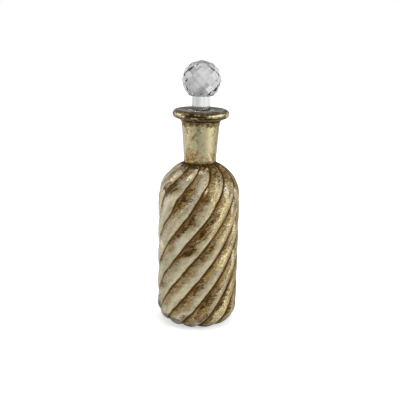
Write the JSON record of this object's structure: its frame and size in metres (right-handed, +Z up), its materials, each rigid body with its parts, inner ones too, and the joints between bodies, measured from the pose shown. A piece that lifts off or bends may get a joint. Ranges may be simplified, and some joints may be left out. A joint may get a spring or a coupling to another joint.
{
  "type": "genie bottle",
  "caption": "Swirled mercury glass bottle with a smooth neck, a rolled lip and a lift-out stopper topped by a faceted crystal ball.",
  "frame": {"origin": "centre of the foot, on the surface the bottle stands on", "axes": "+Z up along the bottle's axis, -Y towards the picture's viewer"},
  "size_m": [0.0884, 0.0884, 0.286],
  "materials": {
    "antiqued_glass": "antiqued silver with brown creases and gold speckle",
    "antiqued_glass_neck": "antiqued silver, pale greenish gold",
    "bronzed_glass_lip": "dark bronze with worn gold",
    "silver_film": "tarnished silver film under lacquer",
    "clear_glass": "clear, polished",
    "cut_crystal": "clear, cut and polished facets",
    "silicone": "translucent, matt"
  },
  "bodies": {
    "bottle": {"swirl_body": "antiqued_glass", "neck": "antiqued_glass_neck", "lip_ring": "bronzed_glass_lip", "silver_lining": "silver_film"},
    "sealing_rings": {"seal_ring_top": "silicone", "seal_ring_middle": "silicone", "seal_ring_bottom": "silicone"},
    "stopper": {"stopper_plug": "clear_glass", "crystal_ball": "cut_crystal"}
  },
  "joints": [
    {"name": "stopper_lift", "type": "slide", "parent": "bottle", "child": "sealing_rings", "axis": [0, 0, 1], "range_m": [0, 0.045]},
    {"name": "stopper_turn", "type": "hinge", "parent": "sealing_rings", "child": "stopper", "pos_m": [0, 0, 0.24], "axis": [0, 0, 1], "continuous": true}
  ]
}
